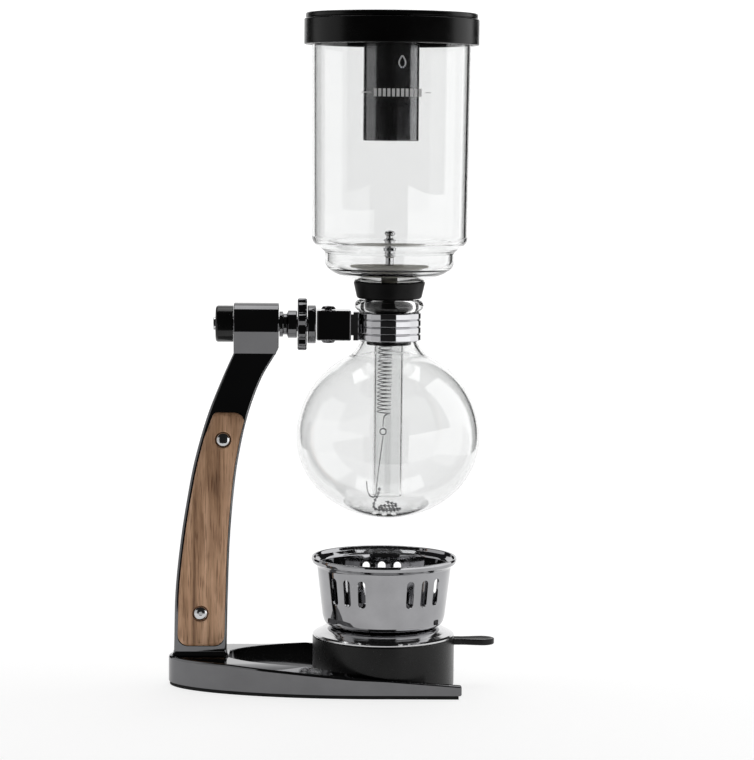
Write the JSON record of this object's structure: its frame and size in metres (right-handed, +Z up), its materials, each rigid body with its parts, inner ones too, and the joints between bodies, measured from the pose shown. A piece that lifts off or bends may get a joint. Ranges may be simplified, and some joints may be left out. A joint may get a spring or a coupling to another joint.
{
  "type": "siphon coffee brewer",
  "caption": "Table-top siphon coffee brewer: glass globe in a clamp on a curved wood-gripped stand, stoppered glass upper chamber with hooked filter, lid and spirit burner with wind shield.",
  "frame": {"origin": "on the table, under the middle of the bounding box", "axes": "+Z up, +X from the stem towards the open end of the base, +Y to the back; the globe's axis is parallel to Z"},
  "size_m": [0.1784, 0.0998, 0.3655],
  "materials": {
    "black_nickel": "polished black nickel plate",
    "satin_black": "satin black coating",
    "sleeve_black": "satin black coating",
    "lid_black": "satin black moulding",
    "walnut": "open-grained walnut, oiled",
    "glass": "clear blown borosilicate",
    "stopper_rubber": "matt black rubber",
    "sole_rubber": "matt black rubber",
    "steel": "polished stainless steel",
    "tinted_steel": "polished dark-tinted steel",
    "cotton": "undyed cotton"
  },
  "bodies": {
    "stand": {"base": "black_nickel", "sole_pad": "sole_rubber", "stem": "black_nickel", "grip_front": "walnut", "grip_back": "walnut", "grip_screw_upper": "steel", "grip_screw_lower": "steel", "grip_nut_upper": "steel", "grip_nut_lower": "steel", "stem_bolt_1": "steel", "stem_bolt_2": "steel", "end_cap": "satin_black", "cap_screw": "steel", "spindle": "black_nickel", "collar": "black_nickel", "clamp_housing": "black_nickel", "jaw_pin": "black_nickel", "globe": "glass"},
    "star_knob": {"star_knob": "black_nickel"},
    "jaw_front": {"jaw_front": "black_nickel", "jaw_liner_front": "stopper_rubber"},
    "jaw_back": {"jaw_back": "black_nickel", "jaw_liner_back": "stopper_rubber"},
    "upper_chamber": {"upper_bowl": "glass", "stopper": "stopper_rubber", "filter_disc": "cotton", "filter_knob": "steel", "filter_spring": "steel", "spring_hanger": "steel", "pull_ring": "steel", "pull_hook": "steel", "bead_chain": "steel"},
    "lid": {"lid_cap": "lid_black", "lid_tube": "lid_black"},
    "burner": {"sleeve": "sleeve_black", "font": "steel", "collar_dome": "steel", "wick_holder": "steel"},
    "wick": {"wick": "cotton"},
    "wind_shield": {"wind_shield": "tinted_steel"}
  },
  "joints": [
    {"name": "knob_turn", "type": "hinge", "parent": "stand", "child": "star_knob", "pos_m": [-0.0173, 0, 0.1977], "axis": [1, 0, 0], "range_deg": [0, 720]},
    {"name": "jaw_front_swing", "type": "hinge", "parent": "stand", "child": "jaw_front", "pos_m": [-0.0032, 0, 0.1977], "axis": [0, 0, 1], "range_deg": [-10.05, 0]},
    {"name": "jaw_back_swing", "type": "hinge", "parent": "stand", "child": "jaw_back", "pos_m": [-0.0032, 0, 0.1977], "axis": [0, 0, 1], "range_deg": [0, 10.05]},
    {"name": "upper_lift", "type": "slide", "parent": "stand", "child": "upper_chamber", "axis": [0, 0, 1], "range_m": [0, 0.125]},
    {"name": "lid_lift", "type": "slide", "parent": "upper_chamber", "child": "lid", "axis": [0, 0, 1], "range_m": [0, 0.068]},
    {"name": "burner_slide", "type": "slide", "parent": "stand", "child": "burner", "axis": [1, 0, 0], "range_m": [0, 0.11]},
    {"name": "shield_lift", "type": "slide", "parent": "burner", "child": "wind_shield", "axis": [0, 0, 1], "range_m": [0, 0.018]},
    {"name": "wick_raise", "type": "slide", "parent": "burner", "child": "wick", "axis": [0, 0, 1], "range_m": [0, 0.005]}
  ],
  "couplings": [
    {"joint": "jaw_front_swing", "follows": "knob_turn", "ratio": -0.013889},
    {"joint": "jaw_back_swing", "follows": "knob_turn", "ratio": 0.013889}
  ]
}
